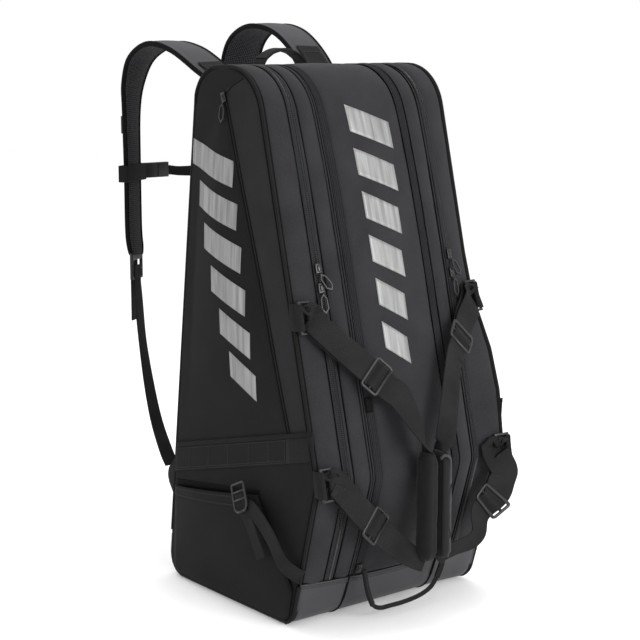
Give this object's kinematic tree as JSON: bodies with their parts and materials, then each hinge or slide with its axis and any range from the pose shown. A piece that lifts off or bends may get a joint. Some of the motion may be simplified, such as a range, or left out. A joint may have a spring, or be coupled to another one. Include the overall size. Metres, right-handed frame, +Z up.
{
  "type": "racket tournament bag",
  "caption": "Upright racket bag with side covers on zips, zip pockets, twin carry handles that meet in a padded grip, and padded shoulder straps with a chest strap.",
  "frame": {"origin": "middle of the flat base, at floor level", "axes": "+Z up; +X to the right across the front face; -Y front with zips and carry handles; +Y back with shoulder straps"},
  "size_m": [0.378, 0.643, 0.8312],
  "materials": {
    "shell_fabric": "plain-woven black polyester, matt",
    "tarpaulin": "coated black tarpaulin, satin sheen",
    "webbing": "black polypropylene webbing, matt",
    "moulded_plastic": "black moulded acetal, satin",
    "zip_chain": "black coil zip on woven tape",
    "zip_metal": "black-enamelled zinc, satin",
    "pad_fabric": "padded black polyester over foam"
  },
  "bodies": {
    "bag": {"back_panel": "shell_fabric", "centre_front_panel": "shell_fabric", "base_tub": "tarpaulin", "left_inner_shell": "shell_fabric", "left_main_zip": "zip_chain", "left_centre_zip": "zip_chain", "left_shoulder_strap": "pad_fabric", "left_ladder_lock": "moulded_plastic", "left_lower_webbing": "webbing", "right_inner_shell": "shell_fabric", "right_main_zip": "zip_chain", "right_centre_zip": "zip_chain", "right_shoulder_strap": "pad_fabric", "right_ladder_lock": "moulded_plastic", "right_lower_webbing": "webbing"},
    "left_cover": {"left_cover_shell": "shell_fabric", "left_long_pocket": "shell_fabric", "left_lower_pocket": "shell_fabric", "left_side_strap": "webbing", "left_side_ladder_lock": "moulded_plastic"},
    "left_side_zip_slider": {"left_side_zip_slider": "zip_metal"},
    "left_side_zip_pull": {"left_side_zip_pull": "moulded_plastic"},
    "left_main_upper_slider": {"left_main_upper_slider": "zip_metal"},
    "left_main_upper_pull": {"left_main_upper_pull": "moulded_plastic"},
    "left_main_lower_slider": {"left_main_lower_slider": "zip_metal"},
    "left_main_lower_pull": {"left_main_lower_pull": "moulded_plastic"},
    "left_centre_slider": {"left_centre_slider": "zip_metal", "centre_pull_loop": "webbing"},
    "left_handle": {"left_upper_ring": "moulded_plastic", "left_lower_ring": "moulded_plastic", "left_upper_strap": "webbing", "left_lower_strap": "webbing", "left_grip": "pad_fabric"},
    "left_upper_glide": {"left_upper_glide": "moulded_plastic"},
    "right_cover": {"right_cover_shell": "shell_fabric", "right_long_pocket": "shell_fabric", "right_lower_pocket": "shell_fabric", "right_side_strap": "webbing", "right_side_ladder_lock": "moulded_plastic"},
    "right_side_zip_slider": {"right_side_zip_slider": "zip_metal"},
    "right_side_zip_pull": {"right_side_zip_pull": "moulded_plastic"},
    "right_main_upper_slider": {"right_main_upper_slider": "zip_metal"},
    "right_main_upper_pull": {"right_main_upper_pull": "moulded_plastic"},
    "right_main_lower_slider": {"right_main_lower_slider": "zip_metal"},
    "right_main_lower_pull": {"right_main_lower_pull": "moulded_plastic"},
    "right_centre_slider": {"right_centre_slider": "zip_metal"},
    "right_handle": {"right_upper_ring": "moulded_plastic", "right_lower_ring": "moulded_plastic", "right_upper_strap": "webbing", "right_lower_strap": "webbing", "right_grip": "pad_fabric"},
    "right_upper_glide": {"right_upper_glide": "moulded_plastic"},
    "sternum_strap": {"left_sternum_keeper": "webbing", "right_sternum_keeper": "webbing", "buckle_female": "moulded_plastic"},
    "buckle_male": {"buckle_male": "moulded_plastic", "sternum_webbing": "webbing"},
    "accessory_ring": {"accessory_ring": "moulded_plastic"},
    "grab_handle": {"grab_handle": "webbing"}
  },
  "joints": [
    {"name": "left_cover_hinge", "type": "hinge", "parent": "bag", "child": "left_cover", "pos_m": [-0.165, 0.1085, 0.385], "axis": [0, 0.1199, -0.9928], "range_deg": [0, 75]},
    {"name": "left_side_zip_slider_slide", "type": "slide", "parent": "left_cover", "child": "left_side_zip_slider", "axis": [0, 0.2961, 0.9552], "range_m": [-0.43, 0]},
    {"name": "left_side_zip_pull_hinge", "type": "hinge", "parent": "left_side_zip_slider", "child": "left_side_zip_pull", "pos_m": [-0.1715, -0.01222, 0.71984], "axis": [0, 1, 0], "range_deg": [0, 100]},
    {"name": "left_main_upper_slider_slide", "type": "slide", "parent": "bag", "child": "left_main_upper_slider", "axis": [0.0006, 0.2502, 0.9682], "range_m": [0, 0.159]},
    {"name": "left_main_upper_pull_hinge", "type": "hinge", "parent": "left_main_upper_slider", "child": "left_main_upper_pull", "pos_m": [-0.1212, -0.16299, 0.49414], "axis": [-0.9798, 0.1941, -0.0475], "range_deg": [0, 90]},
    {"name": "left_main_lower_slider_slide", "type": "slide", "parent": "bag", "child": "left_main_lower_slider", "axis": [0, 0.2345, 0.9721], "range_m": [-0.2, 0]},
    {"name": "left_main_lower_pull_hinge", "type": "hinge", "parent": "left_main_lower_slider", "child": "left_main_lower_pull", "pos_m": [-0.1212, -0.16921, 0.4681], "axis": [-0.9796, 0.1951, -0.0474], "range_deg": [0, 110]},
    {"name": "left_centre_slider_slide", "type": "slide", "parent": "bag", "child": "left_centre_slider", "axis": [0, -0.348, 0.9375], "range_m": [0, 0.02]},
    {"name": "left_handle_hinge", "type": "hinge", "parent": "left_cover", "child": "left_handle", "pos_m": [-0.16294, -0.19692, 0.32849], "axis": [-0.0154, -0.2267, -0.9738], "range_deg": [0, 110]},
    {"name": "left_upper_glide_slide", "type": "slide", "parent": "left_handle", "child": "left_upper_glide", "axis": [0.6598, -0.3373, -0.6715], "range_m": [-0.022, 0.004]},
    {"name": "right_cover_hinge", "type": "hinge", "parent": "bag", "child": "right_cover", "pos_m": [0.165, 0.1085, 0.385], "axis": [0, -0.1199, 0.9928], "range_deg": [0, 75]},
    {"name": "right_side_zip_slider_slide", "type": "slide", "parent": "right_cover", "child": "right_side_zip_slider", "axis": [0, 0.2961, 0.9552], "range_m": [-0.43, 0]},
    {"name": "right_side_zip_pull_hinge", "type": "hinge", "parent": "right_side_zip_slider", "child": "right_side_zip_pull", "pos_m": [0.1715, -0.01222, 0.71984], "axis": [0, -1, 0], "range_deg": [0, 100]},
    {"name": "right_main_upper_slider_slide", "type": "slide", "parent": "bag", "child": "right_main_upper_slider", "axis": [-0.0006, 0.2502, 0.9682], "range_m": [0, 0.159]},
    {"name": "right_main_upper_pull_hinge", "type": "hinge", "parent": "right_main_upper_slider", "child": "right_main_upper_pull", "pos_m": [0.1212, -0.16299, 0.49414], "axis": [-0.9798, -0.1941, 0.0475], "range_deg": [0, 90]},
    {"name": "right_main_lower_slider_slide", "type": "slide", "parent": "bag", "child": "right_main_lower_slider", "axis": [0, 0.2345, 0.9721], "range_m": [-0.2, 0]},
    {"name": "right_main_lower_pull_hinge", "type": "hinge", "parent": "right_main_lower_slider", "child": "right_main_lower_pull", "pos_m": [0.1212, -0.16921, 0.4681], "axis": [-0.9796, -0.1951, 0.0474], "range_deg": [0, 110]},
    {"name": "right_centre_slider_slide", "type": "slide", "parent": "bag", "child": "right_centre_slider", "axis": [0, -0.348, 0.9375], "range_m": [0, 0.02]},
    {"name": "right_handle_hinge", "type": "hinge", "parent": "right_cover", "child": "right_handle", "pos_m": [0.16294, -0.19692, 0.32849], "axis": [-0.0154, 0.2267, 0.9738], "range_deg": [0, 110]},
    {"name": "right_upper_glide_slide", "type": "slide", "parent": "right_handle", "child": "right_upper_glide", "axis": [-0.6442, -0.3932, -0.6561], "range_m": [-0.022, 0.004]},
    {"name": "sternum_strap_slide", "type": "slide", "parent": "bag", "child": "sternum_strap", "axis": [0, 0, 1], "range_m": [-0.035, 0.045]},
    {"name": "buckle_male_slide", "type": "slide", "parent": "sternum_strap", "child": "buckle_male", "axis": [1, 0, 0], "range_m": [0, 0.018]},
    {"name": "accessory_ring_hinge", "type": "hinge", "parent": "bag", "child": "accessory_ring", "pos_m": [-0.10956, 0.3429, 0.686], "axis": [0.848, 0.5299, 0], "range_deg": [0, 120]},
    {"name": "grab_handle_hinge", "type": "hinge", "parent": "bag", "child": "grab_handle", "pos_m": [0, 0.0835, 0.738], "axis": [-1, 0, 0], "range_deg": [-12, 80], "stiffness_Nm_per_rad": 0.08}
  ],
  "couplings": [
    {"joint": "right_centre_slider_slide", "follows": "left_centre_slider_slide", "ratio": 1}
  ]
}
